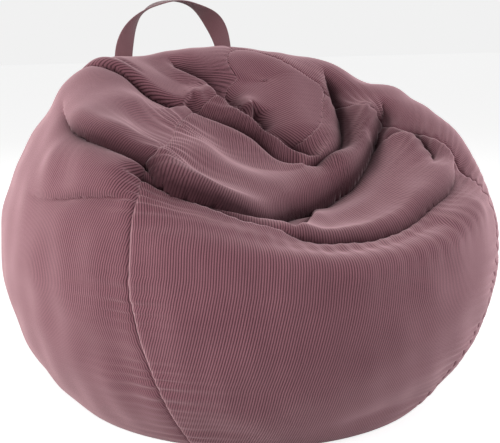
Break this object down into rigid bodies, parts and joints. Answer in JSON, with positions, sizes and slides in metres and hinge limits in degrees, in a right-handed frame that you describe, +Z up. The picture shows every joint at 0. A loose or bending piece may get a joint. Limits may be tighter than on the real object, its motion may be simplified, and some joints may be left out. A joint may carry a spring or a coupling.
{
  "type": "bean bag chair",
  "caption": "Slumped fabric bean bag chair with a folded seat hollow, a webbing carry loop at the back, and a zipped liner of beads inside.",
  "frame": {"origin": "on the floor under the middle of the chair", "axes": "+Z up, -Y towards the front of the seat, +Y towards the back with the handle and zip, X across"},
  "size_m": [0.9384, 0.9387, 0.7325],
  "materials": {
    "corduroy": "wide-rib corduroy, brushed pile with a soft sheen",
    "webbing": "woven strap, matt",
    "thread": "sewing thread",
    "zip_tape": "woven tape",
    "zip_coil": "nylon coil",
    "zip_metal": "satin plated metal",
    "liner_cloth": "plain cotton",
    "liner_zip_tape": "woven tape",
    "liner_zip_coil": "nylon coil",
    "beads": "expanded polystyrene beads",
    "label": "blank satin tape"
  },
  "bodies": {
    "root": {"cover_front_panel": "corduroy", "cover_right_panel": "corduroy", "cover_left_panel": "corduroy", "cover_top_cap": "corduroy", "cover_base_panel": "corduroy", "liner_front_panel": "liner_cloth", "liner_right_panel": "liner_cloth", "liner_left_panel": "liner_cloth", "liner_top_cap": "liner_cloth", "liner_base_panel": "liner_cloth", "bead_filling": "beads", "zip_tape_left": "zip_tape", "zip_tape_right": "zip_tape", "zip_coil_left": "zip_coil", "zip_coil_right": "zip_coil", "zip_bottom_stop": "zip_metal", "zip_top_stop": "zip_metal", "liner_zip_tape_left": "liner_zip_tape", "liner_zip_tape_right": "liner_zip_tape", "liner_zip_coil_left": "liner_zip_coil", "liner_zip_coil_right": "liner_zip_coil", "liner_zip_bottom_stop": "zip_metal", "liner_zip_top_stop": "zip_metal", "handle_end_left": "webbing", "handle_end_right": "webbing", "handle_stitch_left": "thread", "handle_stitch_right": "thread", "care_label": "label"},
    "handle": {"handle_loop": "webbing"},
    "zip_slider": {"zip_slider": "zip_metal"},
    "zip_pull": {"zip_pull_tab": "zip_metal"},
    "liner_zip_slider": {"liner_zip_slider": "zip_metal"}
  },
  "joints": [
    {"name": "handle_fold", "type": "hinge", "parent": "root", "child": "handle", "pos_m": [-0.03284, 0.25288, 0.6028], "axis": [0.9917, 0.1288, 0], "range_deg": [-85, 40]},
    {"name": "zip_run", "type": "hinge", "parent": "root", "child": "zip_slider", "pos_m": [0, 0.095, 0.275], "axis": [1, 0, 0], "range_deg": [0, 74]},
    {"name": "pull_swing", "type": "hinge", "parent": "zip_slider", "child": "zip_pull", "pos_m": [0, 0.40878, 0.06494], "axis": [1, 0, 0], "range_deg": [-25, 150]},
    {"name": "liner_zip_run", "type": "hinge", "parent": "root", "child": "liner_zip_slider", "pos_m": [0, 0.095, 0.275], "axis": [1, 0, 0], "range_deg": [0, 57]}
  ]
}
